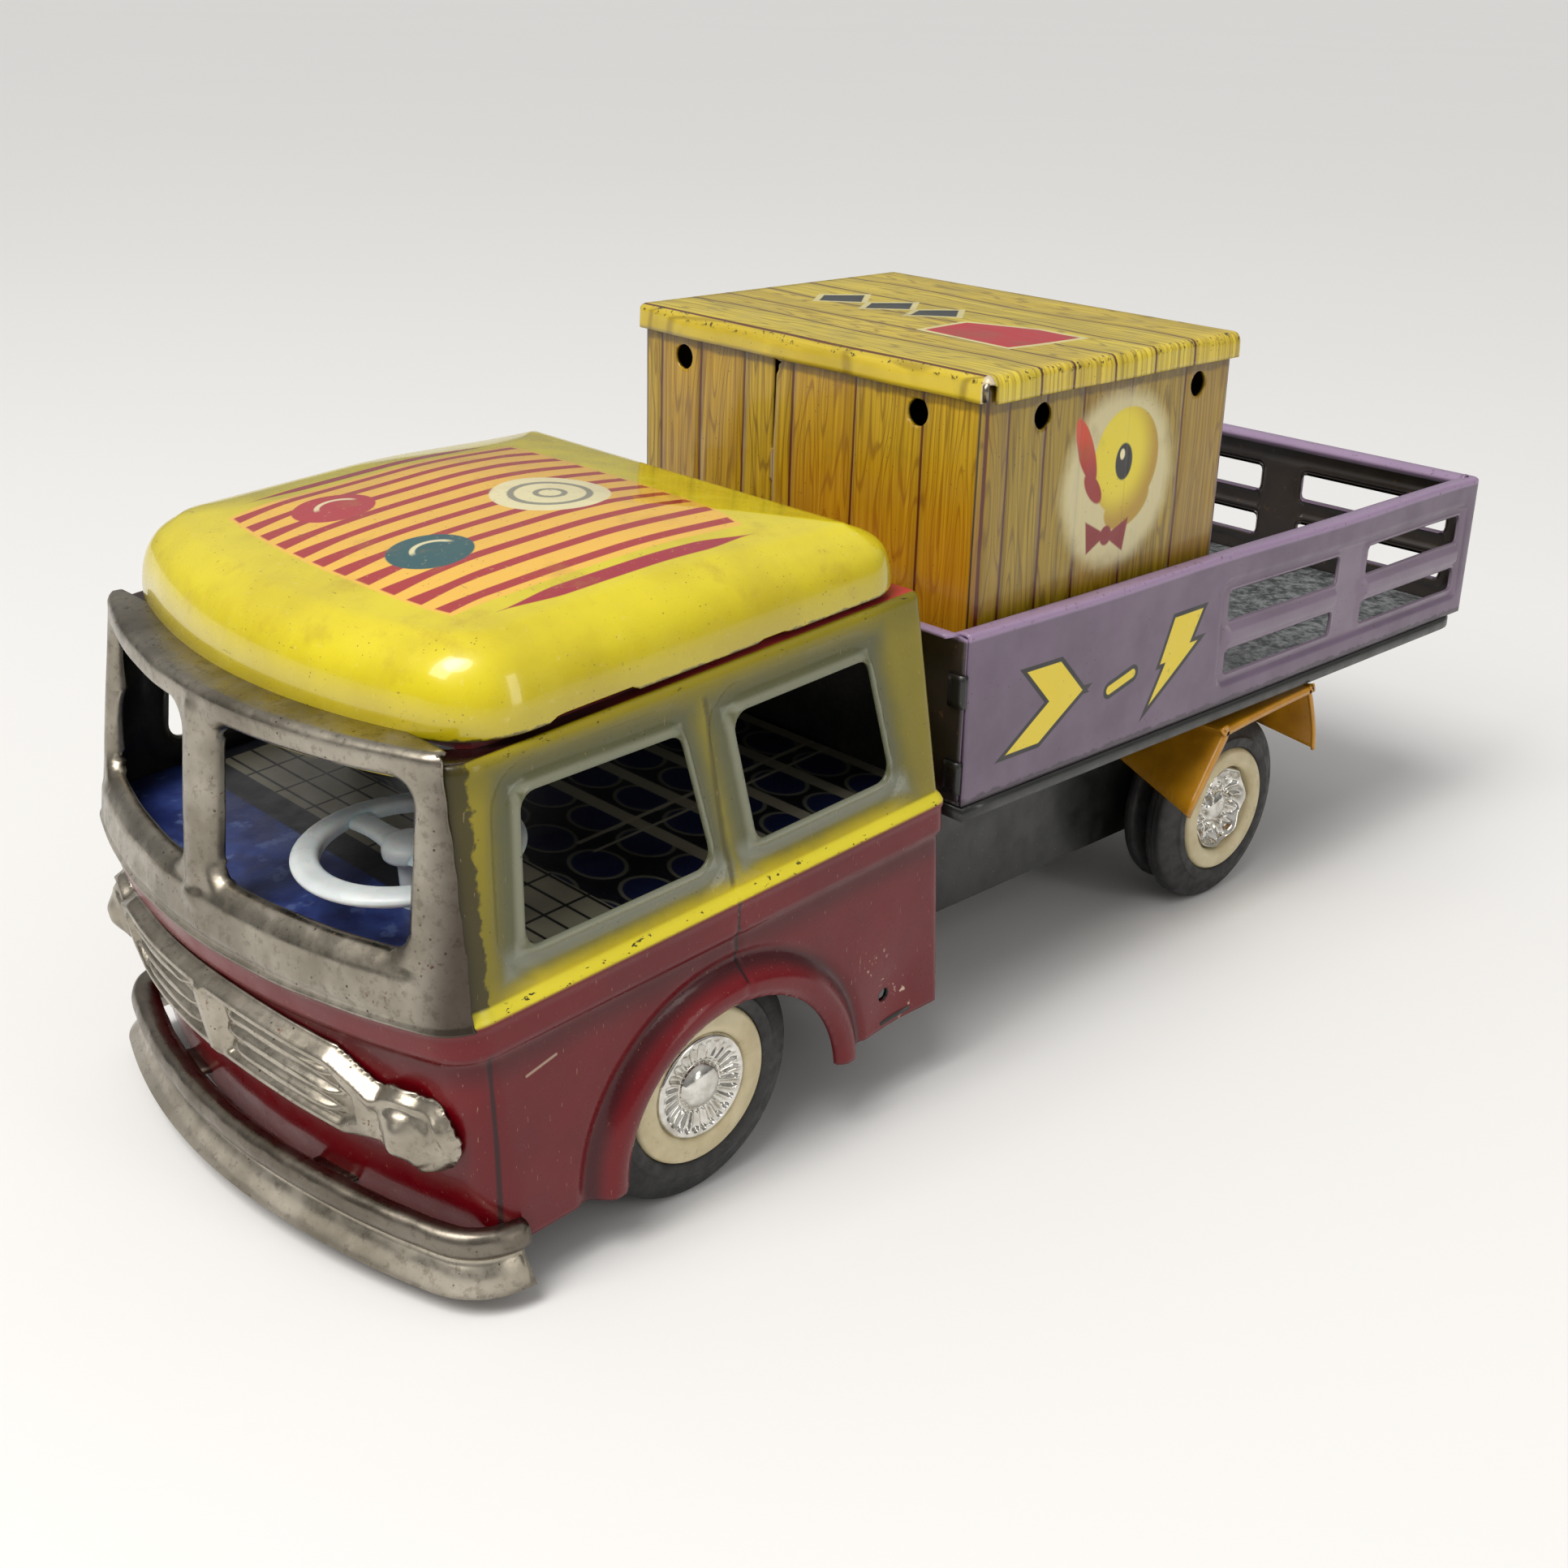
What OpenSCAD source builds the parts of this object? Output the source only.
// Clockwork tin lorry with a hinged-lid crate on a slatted cargo bed.
// Front of the lorry faces -Y, its left side is +X, wheels stand on z = 0. Millimetres.

/* [Chassis] */
// Overall length of the lorry, grille to tail wall
lorry_l = 207; // [205:1:209]
// Thickness of the tin sheet
tin = 0.5; // [0.4:0.1:0.6]
// Width of the chassis channel over its skirts
pan_w = 37; // [36:0.5:38]
// Height of the chassis skirts' lower edge above the ground
pan_bottom = 10; // [9.5:0.5:12]

/* [Wheels] */
// Tyre radius
tyre_r = 14.5; // [14:0.1:14.6]
// Radius of the pale wheel disc inside the tyre
disc_r = 9.55; // [9:0.05:10]
// Radius of both axles
axle_r = 1; // [0.9:0.05:1.1]
// Front axle position along the lorry
front_axle_y = -62; // [-63:0.5:-61]
// Rear axle position along the lorry
rear_axle_y = 49; // [48.5:0.5:49.5]

/* [Cab] */
// Half width of the cab at its belt line
cab_hw = 37.2; // [37:0.1:37.4]
// Half width of the cab at its roof flange
cab_top_hw = 34.6; // [34:0.1:35]
// Nose-down rake of the cab body
cab_rake = 4.4; // [4:0.1:4.8]
// Height of the roof flange above the belt line
cab_upper_h = 26; // [25:0.5:27]
// Height of the roof dome above its flange
dome_h = 10.2; // [9.8:0.2:11]

/* [Cargo bed] */
// Half width of the bed over its side walls
bed_hw = 35.7; // [35.5:0.1:36]
// Height of the bed floor above the ground
bed_floor_z = 36.9; // [36.9:0.1:37]
// Height of the bed's rim above the ground
bed_top = 58.5; // [57:0.5:60]

/* [Crate] */
// Half width of the crate body
crate_hw = 31.2; // [30:0.1:31.4]
// Length of the crate body
crate_l = 50; // [48:0.5:52]
// Height of the crate's lid above the ground
crate_top = 88; // [84:0.5:90]
// Widest opening of the crate's lid
lid_open = 100; // [60:5:105]

/* [Clockwork] */
// Gear module
gear_m = 0.6; // [0.6:0.05:0.6]
// Backlash of each tooth at the pitch circle
backlash = 0.16; // [0.14:0.01:0.2]
// Half of the space between the motor plates
motor_hw = 11; // [11:0.1:11.5]

/* [Hidden] */
$fn = 64;
run_gap = 0.05;

// Cab frame: its origin lies on the belt line at the front corner.
cab_y0 = -94;
cab_z0 = 34.4;
cab_rear = 69;
belt_front = -8.3;
belt_corner = -2.2;
top_front = -4.3;
top_corner = 2;
cab_top_rear = 67;
foot_z = -28;
foot_front = -5;
foot_corner = 1;
corner_r = 3.6;
frame_t = 0.6;
frame_h = 28;
plate_z = 1.2;
roof_gap = 1.8;
arch_c = [-58.2, 8.6];
arch_r = 16;
arch_lip_r = 20.5;
arch_lip_w = 0.7;
fold_w = 4;

// Outlines of the side windows in the cab frame, the windscreen opening and one pane [x0, x1, z0, z1].
front_window = [[8.1, 5.3], [33.3, 5], [31, 20.8], [10.2, 21.4]];
rear_window = [[39.5, 5.3], [61, 5.3], [58.8, 20.7], [37.9, 20.7]];
screen_hw = 31.5;
screen_z0 = 5.8;
pane_box = [2.3, 30.8, 6.8, 25];

// Roof dome: height and inset of each outline from the roof's foot to its crown.
dome_steps = [[0, 0], [2, 0.1], [4.4, 1], [6.6, 2.8], [8.3, 5.6], [9.4, 10.5], [dome_h, 20]];
dome_gap = 0.5;
dome_back = 4.2;
collar_in = 2.4;

// Grille panel and lamps in the cab frame.
grille_z0 = -16.5;
grille_z1 = -5.2;
grille_proud = 2.1;
lamp = [29.5, -12.2];
lamp_r = 5.2;

// Bumper: lower edge, groove and upper edge, its half width and its front.
bumper_z0 = 3;
bumper_groove_z = 6;
bumper_z1 = 10;
bumper_hw = 37.6;
bumper_y0 = -101;
bumper_corner = -95;
bumper_ridge = 0.6;

// Steering wheel in the cab frame.
wheel_c = [15, 9.5];
wheel_r = 12.5;
wheel_band = 3;
wheel_peg_r = 1.5;
ring_z = 8.5;

// Bed and chassis levels.
bed_y0 = -19.6;
bed_y1 = lorry_l / 2;
base_z = bed_floor_z - 2 * tin;
base_drop = 1.5;
pan_top = base_z;
pan_y0 = -93;
pan_y1 = 96;
skirt_y1 = 57;
bay_y = [[35.3, 62.8], [70.8, 98.8]];
bay_x = [[-31, -4], [4, 31]];
row_z = [[40.7, 44.5], [48.5, 53.1]];
rim_w = 2.6;

// Rear fenders: outer and inner edge of the sheet, seen from the side, and the outer lip's lower edge.
fender_x1 = 36;
fender_line = [[28.5, 20.8], [37, 31.8], [58.9, 33], [62, 22.8]];
fender_inner = [[61.5, 22.8], [58.5, 32.5], [37.3, 31.3], [29, 20.8]];
fender_lip = [[60.8, 22.8], [57.9, 31.6], [37.9, 30.4], [30.2, 20.8]];

// Crate.
crate_y0 = -14;
crate_y1 = crate_y0 + crate_l;
lid_rim = 3.4;
lid_gap = 0.15;
lid_hw = crate_hw + lid_gap + tin;
lid_y0 = crate_y0 - lid_gap - tin;
lid_y1 = crate_y1 + lid_gap + tin;
hinge_r = 1.3;
hinge_pin_r = 0.55;
hinge_y = lid_y1 + hinge_r + 0.35;
hinge_z = crate_top - lid_rim;
lid_ear_hw = 9.5;
ear_x = [-16, 16];
ear_w = 6;
air_hole_x = [-23.5, 20.3];
air_hole_y = [-3.4, 28.6];
air_hole_r = 1.75;
air_hole_z = crate_top - 6.1;

// Wheels: x of the outer face and the tread width of each tyre.
front_c = [front_axle_y, tyre_r];
shoulder_r = 1.8;
hubcap_r = 6.5;
front_face = 36;
front_tread = 6.6;
rear_face = 29.8;
rear_tread = 5.4;
twin_tread = 4.2;
twin_r = tyre_r - 1.2;
twin_gap = 0.6;

// Gear train from the winding arbor to the rear axle: teeth and directions of the centre lines.
great_n = 40;
first_pinion_n = 10;
first_wheel_n = 26;
second_pinion_n = 10;
second_wheel_n = 20;
axle_pinion_n = 12;
dir_second = 160;
dir_first = 165;
dir_winding = 175;
axle_c = [rear_axle_y, tyre_r];
second_c = axle_c + spacing(second_wheel_n, axle_pinion_n) * dir(dir_second);
first_c = second_c + spacing(first_wheel_n, second_pinion_n) * dir(dir_first);
winding_c = first_c + spacing(great_n, first_pinion_n) * dir(dir_winding);
plate_t = 0.8;
shaft_r = 0.8;
arbor_r = 1.5;
pillar_r = 1.2;
pillars = [[2, 32], [2, 11.5], [31, 10.3], [50.5, 28]];
great_x = 0;
first_wheel_x = 4;
second_wheel_x = 7.5;
wheel_t = 1;
pinion_t = 1.9;
spring_x0 = -9.7;
spring_x1 = -1.9;
ratchet_r = 4;
ratchet_n = 12;
key_x = -21;
key_lobe_r = 4.8;

// ---------- helpers ----------

function dir(a) = [cos(a), sin(a)];
function spacing(n1, n2) = gear_m * (n1 + n2) / 2;

// Extrudes a YZ outline along X from x0.
module along_x(x0, len) {
    translate([x0, 0, 0]) rotate([90, 0, 90]) linear_extrude(len) children();
}

// Extrudes an XZ outline along Y from y0.
module along_y(y0, len) {
    translate([0, y0 + len, 0]) rotate([90, 0, 0]) linear_extrude(len) children();
}

// A rod along X, centred on the point c = [y, z].
module rod(c, x0, x1, r) {
    translate([x0, c[0], c[1]]) rotate([0, 90, 0]) cylinder(h = x1 - x0, r = r);
}

module box(lo, hi) {
    translate(lo) cube(hi - lo);
}

module both_sides() {
    children();
    mirror([1, 0, 0]) children();
}

// Plan outline with a bowed front, rounded front corners and a square rear.
function bowed(hw, front, corner, rear, r) = concat(
    [for (i = [-5:5]) let(x = (hw - r) * i / 5) [x, front + (corner - front) * pow(i / 5, 2)]],
    [for (a = [-60:30:0]) [hw - r + r * cos(a), corner + r + r * sin(a)]],
    [[hw, rear], [-hw, rear]],
    [for (a = [180:30:240]) [-(hw - r) + r * cos(a), corner + r + r * sin(a)]]);

// Plan outline with rounded rear corners.
function tail_round(hw, front, rear, r) = concat(
    [[-hw, front], [hw, front]],
    [for (a = [0:18:90]) [hw - r + r * cos(a), rear - r + r * sin(a)]],
    [for (a = [90:18:180]) [-(hw - r) + r * cos(a), rear - r + r * sin(a)]]);

// ---------- cab ----------

module raked() {
    translate([0, cab_y0, cab_z0]) rotate([cab_rake, 0, 0]) children();
}

module cab_level(z, hw, front, corner, rear, g) {
    translate([0, 0, z]) linear_extrude(0.01)
        polygon(bowed(hw + g, front - g, corner - g, rear + g, corner_r + g));
}

function mix(a, b, t) = a + (b - a) * t;

// Solid block of the cab from its belt up to z1, grown by g.
module upper_block(g, z1) {
    t = z1 / cab_upper_h;
    hull() {
        cab_level(0, cab_hw, belt_front, belt_corner, cab_rear, g);
        cab_level(z1, mix(cab_hw, cab_top_hw, t), mix(belt_front, top_front, t),
            mix(belt_corner, top_corner, t), mix(cab_rear, cab_top_rear, t), g);
    }
}

// Solid block of the cab below its belt, grown by g.
module lower_block(g, z0) {
    hull() {
        cab_level(0, cab_hw, belt_front, belt_corner, cab_rear, g);
        cab_level(z0, cab_hw - 0.2, foot_front, foot_corner, cab_rear, g);
    }
}

// Cutter for one windscreen pane with bevelled corners.
module pane(x0, x1, z0, z1) {
    along_y(-20, 30) polygon([[x0 + 1.5, z0], [x1 - 2, z0], [x1, z0 + 2], [x1, z1 - 4],
        [x1 - 4, z1], [x0 + 1.5, z1], [x0, z1 - 1.5], [x0, z0 + 1.5]]);
}

module cab_shell() {
    color([0.55, 0.08, 0.12]) difference() {
        union() {
            raked() upper_block(0, cab_upper_h);
            raked() lower_block(0, foot_z);
            both_sides() rod(arch_c, cab_hw - tin, cab_hw + arch_lip_w, arch_lip_r);
        }
        raked() upper_block(-tin, cab_upper_h - tin);
        raked() lower_block(-tin, foot_z - 1);
        raked() box([-cab_top_hw + fold_w, top_corner, 10],
            [cab_top_hw - fold_w, cab_top_rear - fold_w, 40]);
        raked() both_sides() along_x(20, 30) polygon(front_window);
        raked() both_sides() along_x(20, 30) polygon(rear_window);
        raked() box([-screen_hw, -20, screen_z0], [screen_hw, 5, cab_upper_h - 1.6]);
        rod(arch_c, -50, 50, arch_r);
        box([-50, arch_c[0] - arch_r, -5], [50, arch_c[0] + arch_r, arch_c[1]]);
        box([-50, arch_c[0] - 25, -20], [50, arch_c[0] + 25, 9]);
        box([-pan_w / 2 - 0.2, -40, 0], [pan_w / 2 + 0.2, -20, pan_top + 0.2]);
    }
}

// Plan outline of the collar, drawn in by g.
function collar_line(g) = bowed(cab_top_hw - collar_in - g, top_front + dome_back + 1 + g,
    top_corner + dome_back + g, cab_top_rear - 3 - g, 3);

// Low upright collar on the cab's flange that carries the roof dome.
module roof_collar() {
    color([0.75, 0.25, 0.25]) raked() translate([0, 0, cab_upper_h + 0.01]) linear_extrude(roof_gap - 0.01)
        difference() {
            polygon(collar_line(0));
            polygon(collar_line(tin));
        }
}

module cab_interior_plate() {
    color([0.25, 0.3, 0.5]) raked() difference() {
        translate([0, 0, plate_z]) linear_extrude(tin)
            polygon(bowed(cab_hw - 0.8, belt_front + 1.2, belt_corner + 1, cab_rear - 1.5, corner_r));
        translate([wheel_c[0], wheel_c[1], 0]) cylinder(h = 5, r = wheel_peg_r + run_gap);
    }
}

// Roof dome: stacked outlines that close in towards the crown.
module dome_block(g) {
    raked() translate([0, 0, cab_upper_h + roof_gap]) hull() for (s = dome_steps)
        cab_level(s[0] - (s[0] > 0 ? g : 0), cab_top_hw - dome_gap - s[1],
            top_front + dome_back + s[1], top_corner + dome_back - 1 + s[1] * 0.9,
            cab_top_rear - 4 * dome_gap - s[1], -g);
}

module roof_dome() {
    color([0.95, 0.82, 0.1]) difference() {
        dome_block(0);
        dome_block(tin);
    }
}

module windshield_frame() {
    color([0.66, 0.63, 0.58]) raked() difference() {
        upper_block(frame_t, frame_h);
        upper_block(0, frame_h + 0.1);
        along_x(-60, 120) polygon([[0.4, -5], [4, 40], [90, 40], [90, -5]]);
        both_sides() pane(pane_box[0], pane_box[1], pane_box[2], pane_box[3]);
    }
}

module grille() {
    color([0.7, 0.68, 0.63]) raked() difference() {
        intersection() {
            hull() {
                cab_level(0, cab_hw, belt_front, belt_corner, cab_rear, grille_proud);
                cab_level(foot_z, cab_hw - 0.2, foot_front, foot_corner, cab_rear, grille_proud);
            }
            along_y(-20, 40) union() {
                polygon([[-21, grille_z0], [21, grille_z0], [25, grille_z0 + 1.5], [27, grille_z1 - 3],
                    [22, grille_z1], [-22, grille_z1], [-27, grille_z1 - 3], [-25, grille_z0 + 1.5]]);
                for (side = [-1, 1]) translate([side * lamp[0], lamp[1]]) circle(r = lamp_r);
            }
        }
        lower_block(0, foot_z);
    }
}

// One band of the bumper, standing out by out and t thick.
module bumper_ring(z0, z1, out, t) {
    translate([0, 0, z0]) linear_extrude(z1 - z0) difference() {
        polygon(bowed(bumper_hw + out, bumper_y0 - out, bumper_corner - out, -86.5, 6));
        polygon(bowed(bumper_hw + out - t, bumper_y0 - out + t, bumper_corner - out + t, -80, 6));
    }
}

module front_bumper() {
    color([0.72, 0.7, 0.66]) difference() {
        union() {
            bumper_ring(bumper_z0, bumper_groove_z, 0, tin);
            bumper_ring(bumper_groove_z, bumper_z1, bumper_ridge, bumper_ridge + tin);
            both_sides() box([12, -99.6, 7], [18, -93, 9]);
        }
        raked() lower_block(0, foot_z);
    }
}

module steering_wheel() {
    color([0.92, 0.94, 0.94]) raked() translate([wheel_c[0], wheel_c[1], 0]) {
        translate([0, 0, ring_z]) rotate_extrude()
            translate([wheel_r - wheel_band, -0.8]) square([wheel_band, 1.6]);
        translate([0, 0, -1]) cylinder(h = ring_z + 1, r = wheel_peg_r);
        translate([0, 0, ring_z - 1.2]) cylinder(h = 2.4, r = 3);
        for (a = [0, 90, 180]) rotate([0, 0, a])
            translate([2.6, -1.3, ring_z - 0.6]) cube([wheel_r - 5, 2.6, 1.2]);
        translate([0, 0, plate_z + tin + 0.3]) cylinder(h = 1, r = 2.6);
    }
}

// ---------- chassis and bed ----------

module chassis_pan() {
    color([0.08, 0.08, 0.08]) difference() {
        box([-pan_w / 2, pan_y0, pan_bottom], [pan_w / 2, pan_y1, pan_top]);
        box([-pan_w / 2 + tin, pan_y0 + tin, 0], [pan_w / 2 - tin, skirt_y1 - tin, pan_top - tin]);
        box([-pan_w / 2 - 1, skirt_y1, 0], [pan_w / 2 + 1, pan_y1 + 1, pan_top - tin]);
        rod([front_axle_y, tyre_r], -50, 50, axle_r + run_gap);
        rod(axle_c, -50, 50, axle_r + run_gap);
        rod(winding_c, -50, 0, arbor_r + 0.6);
        raked() box([-50, -20, plate_z - 0.01], [50, cab_rear + 1, 40]);
        raked() translate([wheel_c[0], wheel_c[1], -5]) cylinder(h = 10, r = wheel_peg_r + 0.5);
    }
}

module bed_base() {
    color([0.07, 0.07, 0.07]) translate([0, 0, base_z - base_drop]) difference() {
        linear_extrude(base_drop + tin) polygon(tail_round(bed_hw + 0.2, bed_y0, bed_y1 - 0.4, 6));
        translate([0, 0, -1]) linear_extrude(base_drop + 1)
            polygon(tail_round(bed_hw + 0.2 - tin, bed_y0 + tin, bed_y1 - 0.4 - tin, 5.5));
        translate([-pan_w / 2 - 0.1, bed_y0 - 1, -1]) cube([pan_w + 0.2, 3, base_drop + 1]);
    }
}

module bed_floor() {
    color([0.6, 0.61, 0.62]) translate([0, 0, base_z + tin]) linear_extrude(tin)
        polygon(tail_round(bed_hw - tin, bed_y0, bed_y1 - tin, 5));
}

module bed_sides() {
    z0 = base_z + tin;
    color([0.55, 0.47, 0.58]) difference() {
        box([-bed_hw, bed_y0, z0], [bed_hw, bed_y1, bed_top]);
        box([-bed_hw + tin, bed_y0 - 1, z0 - 1], [bed_hw - tin, bed_y1 - tin, bed_top - tin]);
        box([-bed_hw + rim_w, bed_y0 - 1, z0], [bed_hw - rim_w, bed_y1 - rim_w, bed_top + 1]);
        for (r = row_z) {
            for (b = bay_y) box([-50, b[0], r[0]], [50, b[1], r[1]]);
            for (b = bay_x) box([b[0], 80, r[0]], [b[1], 120, r[1]]);
        }
    }
}

module bed_headboard() {
    color([0.58, 0.5, 0.6]) {
        box([-bed_hw + tin, bed_y0, bed_floor_z], [bed_hw - tin, bed_y0 + tin, bed_top - tin]);
        box([-bed_hw + rim_w, bed_y0, bed_top - tin], [bed_hw - rim_w, bed_y0 + 2, bed_top]);
    }
}

module rear_fender() {
    along_x(pan_w / 2, fender_x1 - pan_w / 2) polygon(concat(fender_line, fender_inner));
    along_x(fender_x1 - tin, tin) polygon(concat(fender_line, fender_lip));
}

module rear_fender_left() {
    color([0.75, 0.52, 0.1]) rear_fender();
}

module rear_fender_right() {
    color([0.75, 0.52, 0.1]) mirror([1, 0, 0]) rear_fender();
}

// ---------- crate ----------

module crate_body() {
    z1 = crate_top - tin - 0.1;
    color([0.8, 0.6, 0.12]) difference() {
        union() {
            box([-crate_hw, crate_y0, bed_floor_z], [crate_hw, crate_y1, z1]);
            for (x = ear_x) hinge_ear(x - ear_w / 2, ear_w, crate_y1 - 0.1, -3);
        }
        box([-crate_hw + tin, crate_y0 + tin, bed_floor_z - 1], [crate_hw - tin, crate_y1 - tin, 100]);
        for (x = air_hole_x) translate([x, 60, air_hole_z]) rotate([90, 0, 0])
            cylinder(h = 100, r = air_hole_r);
        for (y = air_hole_y) rod([y, air_hole_z], -50, 50, air_hole_r);
        rod([hinge_y, hinge_z], -50, 50, hinge_pin_r + run_gap);
    }
}

// Rolled hinge barrel at x0 with a leaf that reaches to the sheet at y0, dz below the pin.
module hinge_ear(x0, w, y0, dz) {
    rod([hinge_y, hinge_z], x0, x0 + w, hinge_r);
    box([x0, y0, hinge_z + dz], [x0 + w, hinge_y - hinge_r + 0.5, hinge_z + dz + 2.4]);
    box([x0, hinge_y - hinge_r, hinge_z + dz], [x0 + w, hinge_y - 0.8, hinge_z]);
}

module crate_lid() {
    color([0.85, 0.68, 0.15]) difference() {
        union() {
            box([-lid_hw, lid_y0, crate_top - lid_rim], [lid_hw, lid_y1, crate_top]);
            rod([hinge_y, hinge_z], -lid_ear_hw, lid_ear_hw, hinge_r);
            box([-lid_ear_hw, lid_y1 - 0.1, hinge_z], [lid_ear_hw, hinge_y - 0.7, hinge_z + 1]);
        }
        box([-lid_hw + tin, lid_y0 + tin, 50], [lid_hw - tin, lid_y1 - tin, crate_top - tin]);
        rod([hinge_y, hinge_z], -50, 50, hinge_pin_r + run_gap);
    }
}

module crate_hinge_pin() {
    color([0.6, 0.6, 0.6]) rod([hinge_y, hinge_z], -20, 20, hinge_pin_r);
}

// ---------- wheels ----------

// Half section of a tyre with rounded shoulders, from x0 outwards.
module tyre_section(r_in, r_out, w) {
    polygon(concat([[r_in, 0], [r_in, w]],
        [for (a = [90:-22.5:0]) [r_out - shoulder_r, w - shoulder_r] + shoulder_r * dir(a)],
        [for (a = [0:-22.5:-90]) [r_out - shoulder_r, shoulder_r] + shoulder_r * dir(a)]));
}

// Turns the profile drawn by the child about the axle through c, starting at x0.
module turned(c, x0) {
    translate([x0, c[0], c[1]]) rotate([0, 90, 0]) rotate_extrude() children();
}

module front_tyre() {
    turned(front_c, front_face - front_tread) tyre_section(disc_r, tyre_r, front_tread);
}

module front_disc() {
    turned(front_c, front_face - front_tread)
        polygon([[axle_r, 0], [disc_r, 0], [disc_r, 6.4], [8.6, 6.7],
            [6.6, 6.7], [6.6, 5.6], [axle_r, 5.6]]);
}

module front_hubcap() {
    turned(front_c, front_face - 1)
        polygon([[0, 0.1], [0.9, 0.1], [axle_r, 0], [hubcap_r, 0], [hubcap_r, 1.1],
            [5.6, 1.5], [3.6, 0.9], [2.8, 1.3], [1.6, 1.9], [0, 2]]);
}

module rear_tyre() {
    turned(axle_c, rear_face - rear_tread) tyre_section(disc_r, tyre_r, rear_tread);
    turned(axle_c, rear_face - rear_tread - twin_gap - twin_tread)
        tyre_section(disc_r, twin_r, twin_tread);
    turned(axle_c, rear_face - rear_tread - twin_gap)
        polygon([[disc_r, 0], [twin_r - 2, 0], [twin_r - 2, twin_gap], [disc_r, twin_gap]]);
}

module rear_disc() {
    w = rear_tread + twin_gap + twin_tread;
    turned(axle_c, rear_face - w)
        polygon([[axle_r, 0], [disc_r, 0], [disc_r, w], [6.6, w + 0.2], [6.6, w - 3], [axle_r, w - 3]]);
}

module rear_hubcap() {
    turned(axle_c, rear_face - 3)
        polygon([[axle_r, 0], [hubcap_r, 0], [hubcap_r, 2.6], [5.7, 2.2],
            [5.2, 0.8], [3, 0.8], [2.6, 2], [axle_r, 2.3]]);
}

module front_axle() {
    color([0.7, 0.7, 0.7]) rod(front_c, -front_face + 1, front_face - 1, axle_r);
}

module rear_axle() {
    color([0.7, 0.7, 0.7]) rod(axle_c, -rear_face + 0.8, rear_face - 0.8, axle_r);
}

module rubber() {
    color([0.06, 0.06, 0.07]) children();
}

module ivory() {
    color([0.85, 0.82, 0.7]) children();
}

module plated() {
    color([0.8, 0.8, 0.78]) children();
}

module flipped() {
    mirror([1, 0, 0]) children();
}

// ---------- clockwork ----------

function polar(r, a) = [r * cos(a), r * sin(a)];

// Gear outline: six points for each tooth, tooth 0 centred on angle 0.
function gear_outline(n) = let(
    rp = gear_m * n / 2,
    ra = rp + 0.85 * gear_m,
    rf = rp - 1.15 * gear_m,
    hp = 90 / n - backlash / rp * 90 / PI,
    ha = hp - 0.8 * gear_m * tan(20) / rp * 180 / PI,
    hf = min(hp + 0.7 * gear_m * tan(14) / rp * 180 / PI, 170 / n))
    [for (i = [0:n - 1]) let(a = i * 360 / n) each [polar(rf, a - hf), polar(rp, a - hp),
        polar(ra, a - ha), polar(ra, a + ha), polar(rp, a + hp), polar(rf, a + hf)]];

// A gear with its bore on the centre c, its teeth turned by phase.
module gear(c, n, phase, x0, t, bore) {
    translate([x0, c[0], c[1]]) rotate([90, 0, 90]) rotate([0, 0, phase]) difference() {
        linear_extrude(t) polygon(gear_outline(n));
        translate([0, 0, -1]) cylinder(h = t + 2, r = bore);
    }
}

// The follower has a gap where the driver, seen in direction a, has a tooth.
function gap_phase(a, n) = a + 180 + 180 / n;

module great_wheel() {
    color([0.75, 0.6, 0.25]) difference() {
        gear(winding_c, great_n, dir_winding + 180, great_x, wheel_t, arbor_r);
        for (k = [0:3]) rod(winding_c + 7.6 * dir(k * 90), -1, 3, 2.1);
    }
}

module first_pinion() {
    color([0.75, 0.6, 0.25])
        gear(first_c, first_pinion_n, gap_phase(dir_winding + 180, first_pinion_n),
            great_x - 0.4, pinion_t, shaft_r);
}

module first_wheel() {
    color([0.75, 0.6, 0.25])
        gear(first_c, first_wheel_n, dir_first + 180, first_wheel_x, wheel_t, shaft_r);
}

module second_pinion() {
    color([0.75, 0.6, 0.25])
        gear(second_c, second_pinion_n, gap_phase(dir_first + 180, second_pinion_n),
            first_wheel_x - 0.4, pinion_t, shaft_r);
}

module second_wheel() {
    color([0.75, 0.6, 0.25])
        gear(second_c, second_wheel_n, dir_second + 180, second_wheel_x, wheel_t, shaft_r);
}

module axle_pinion() {
    color([0.75, 0.6, 0.25])
        gear(axle_c, axle_pinion_n, gap_phase(dir_second + 180, axle_pinion_n),
            second_wheel_x - 0.4, pinion_t, axle_r);
}

module first_arbor() {
    color([0.7, 0.7, 0.7]) rod(first_c, -motor_hw - plate_t, motor_hw + plate_t, shaft_r);
}

module second_arbor() {
    color([0.7, 0.7, 0.7]) rod(second_c, -motor_hw - plate_t, motor_hw + plate_t, shaft_r);
}

module winding_arbor() {
    color([0.7, 0.7, 0.7]) rod(winding_c, key_x - 4, motor_hw + plate_t, arbor_r);
}

module ratchet_wheel() {
    step = 360 / ratchet_n;
    color([0.7, 0.7, 0.7]) translate([great_x - 1.2, winding_c[0], winding_c[1]]) rotate([90, 0, 90])
        difference() {
            linear_extrude(1.2) polygon([for (k = [0:ratchet_n - 1])
                each [polar(ratchet_r, k * step), polar(ratchet_r - 0.8, k * step + 2)]]);
            translate([0, 0, -1]) cylinder(h = 4, r = arbor_r);
        }
}

module on_great_wheel() {
    translate([great_x - 1.2, winding_c[0], winding_c[1]]) rotate([90, 0, 90]) children();
}

module click() {
    color([0.7, 0.7, 0.7]) on_great_wheel() linear_extrude(1.2) polygon([
        [-1.2, 4.6], [-1.2, 4.1], [0.2, 4.7], [4.6, 5.8], [5.6, 6.6], [5.2, 7.6], [4.2, 7.6], [3.6, 6.8]]);
}

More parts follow.
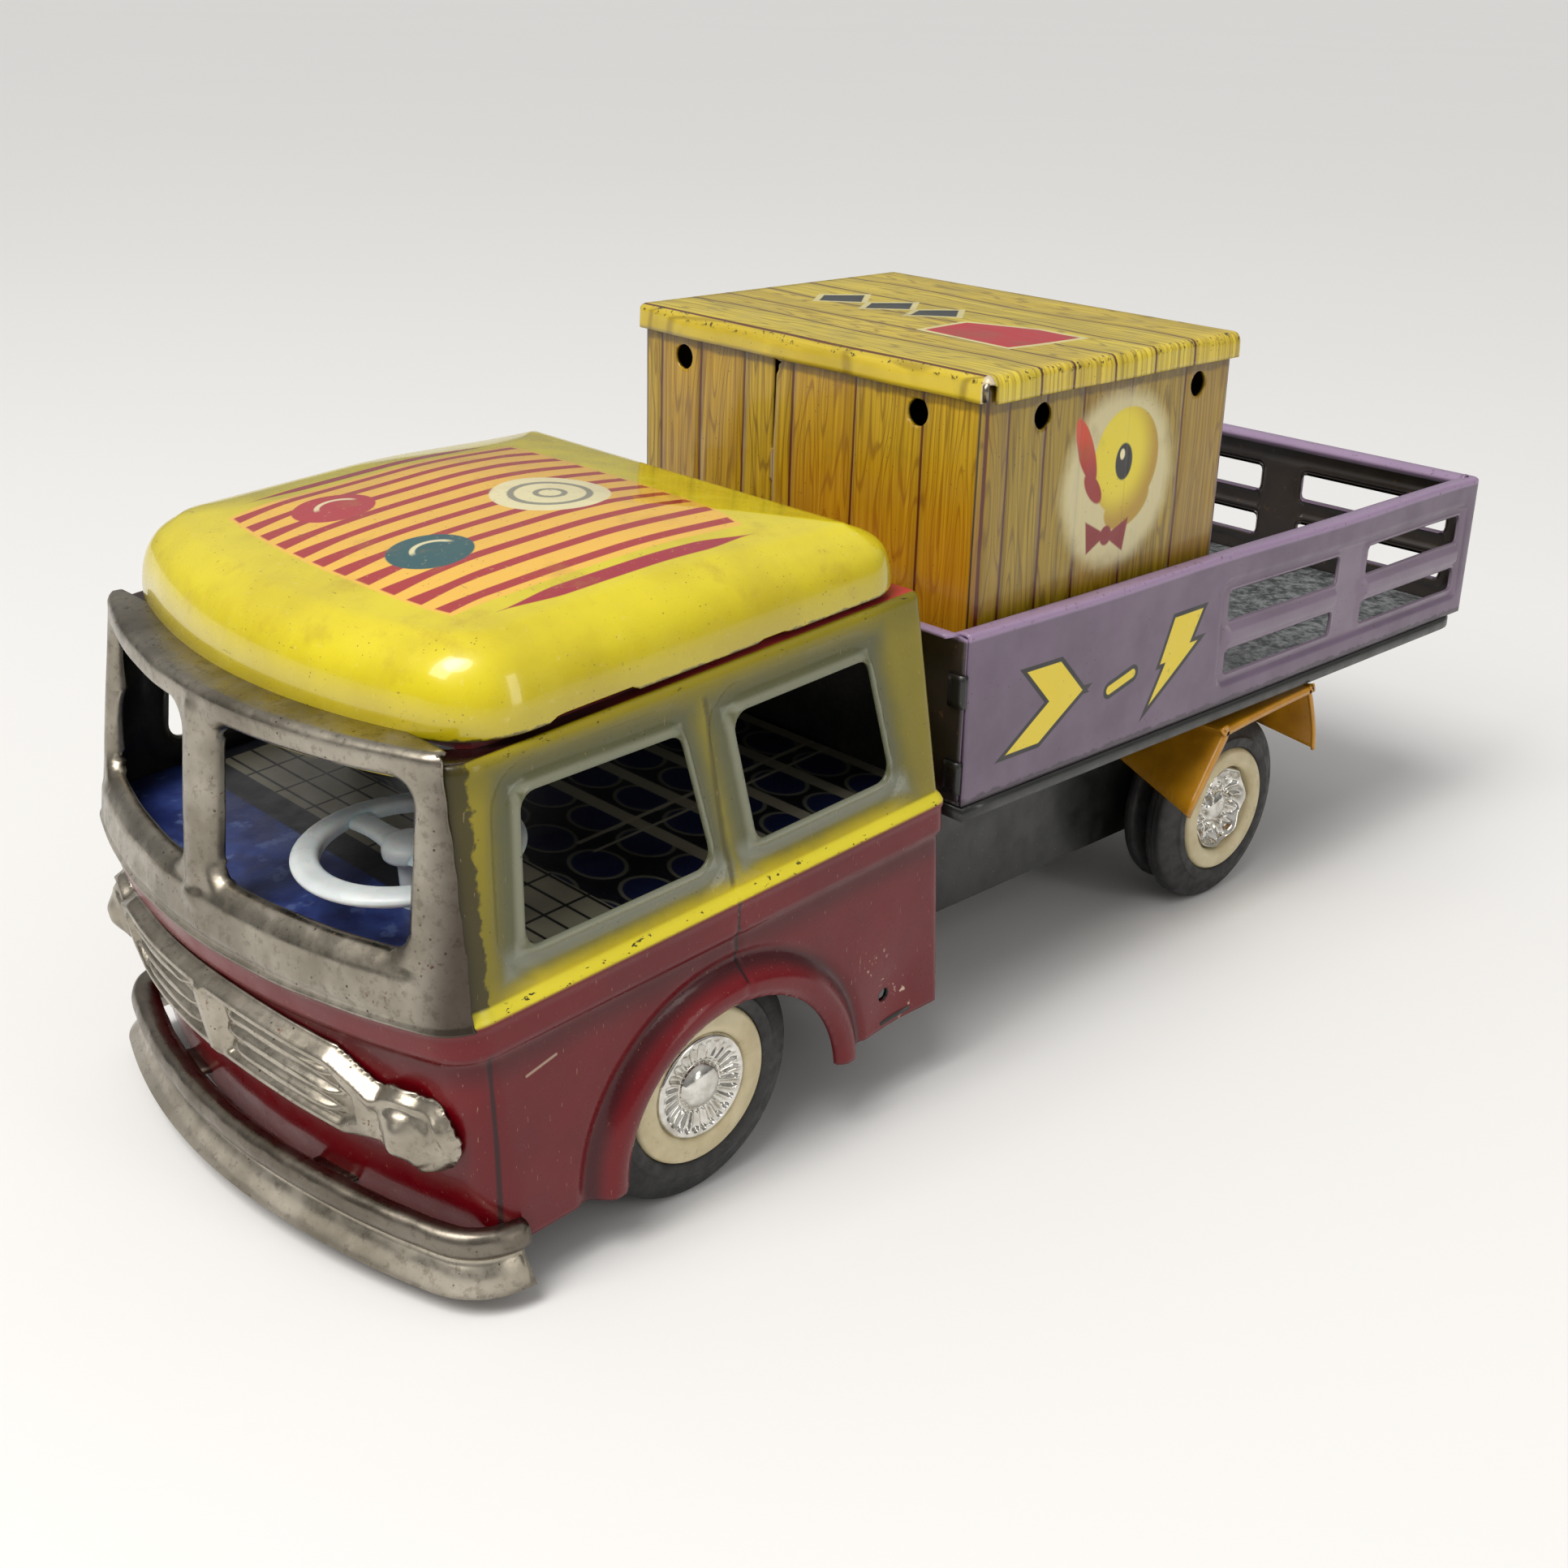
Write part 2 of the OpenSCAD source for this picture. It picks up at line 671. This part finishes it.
module click_spring() {
    color([0.8, 0.8, 0.8]) on_great_wheel() linear_extrude(0.8) polygon([
        [0.2, 5.65], [-5.6, 6.8], [-6.4, 5.7], [-7, 6.1], [-6, 7.3], [0.3, 6]]);
}

// Spiral ribbon from the arbor to the lower front pillar.
module mainspring() {
    turns = 6;
    steps = 20;
    end_a = 219.5;
    start_a = end_a - 360 * turns;
    r0 = arbor_r + 0.02;
    r1 = 10.6;
    t = 0.35;
    last = turns * steps;
    hook = [pillars[1][0] - winding_c[0], pillars[1][1] - winding_c[1]];
    function coil_r(i) = r0 + (r1 - r0) * i / last + (i > last - 3 ? (i - last + 3) * 1.25 : 0);
    inner = [for (i = [0:last]) polar(coil_r(i), start_a + 360 * i / steps)];
    outer = [for (i = [last:-1:0]) polar(coil_r(i) + t, start_a + 360 * i / steps)];
    color([0.45, 0.5, 0.6]) translate([spring_x0, winding_c[0], winding_c[1]]) rotate([90, 0, 90])
        linear_extrude(spring_x1 - spring_x0) difference() {
            polygon(concat(inner, outer));
            translate(hook) circle(r = pillar_r);
        }
}

module key_lobe(s) {
    translate([key_x - 8, s * (key_lobe_r + 0.5), 0]) difference() {
        cylinder(h = 1.2, r = key_lobe_r, center = true);
        cylinder(h = 4, r = 2.4, center = true);
    }
}

module winding_key() {
    color([0.75, 0.75, 0.72]) difference() {
        translate([0, winding_c[0], winding_c[1]]) rotate([60, 0, 0]) {
            rod([0, 0], key_x - 6, key_x, 2.6);
            translate([key_x - 12, -1.6, -0.6]) cube([8, 3.2, 1.2]);
            for (s = [-1, 1]) key_lobe(s);
        }
        rod(winding_c, key_x - 4, key_x + 1, arbor_r);
    }
}

module motor_plate() {
    difference() {
        along_x(motor_hw, plate_t) polygon([[-1.5, 9.5], [33.5, 8], [54, 9.5], [54, 30],
            [46, pan_top - tin], [-1.5, pan_top - tin]]);
        rod(axle_c, -50, 50, axle_r + run_gap);
        rod(first_c, -50, 50, shaft_r + run_gap);
        rod(second_c, -50, 50, shaft_r + run_gap);
        rod(winding_c, -50, 50, arbor_r + run_gap);
    }
}

module motor_plate_left() {
    color([0.62, 0.62, 0.6]) motor_plate();
}

module motor_plate_right() {
    color([0.62, 0.62, 0.6]) mirror([1, 0, 0]) motor_plate();
}

module motor_pillars() {
    color([0.7, 0.7, 0.7]) for (p = pillars) rod(p, -motor_hw, motor_hw, pillar_r);
}

chassis_pan();
cab_shell();
cab_interior_plate();
roof_collar();
roof_dome();
windshield_frame();
grille();
front_bumper();
steering_wheel();
bed_base();
bed_floor();
bed_sides();
bed_headboard();
crate_body();
crate_lid();
crate_hinge_pin();
rear_fender_left();
rear_fender_right();
front_axle();
rubber() front_tyre();  // front_left_tyre
rubber() flipped() front_tyre();  // front_right_tyre
ivory() front_disc();  // front_left_disc
ivory() flipped() front_disc();  // front_right_disc
plated() front_hubcap();  // front_left_hubcap
plated() flipped() front_hubcap();  // front_right_hubcap
rear_axle();
rubber() rear_tyre();  // rear_left_tyre
rubber() flipped() rear_tyre();  // rear_right_tyre
ivory() rear_disc();  // rear_left_disc
ivory() flipped() rear_disc();  // rear_right_disc
plated() rear_hubcap();  // rear_left_hubcap
plated() flipped() rear_hubcap();  // rear_right_hubcap
axle_pinion();
motor_plate_left();
motor_plate_right();
motor_pillars();
mainspring();
winding_arbor();
winding_key();
great_wheel();
ratchet_wheel();
click();
click_spring();
first_arbor();
first_pinion();
first_wheel();
second_arbor();
second_pinion();
second_wheel();
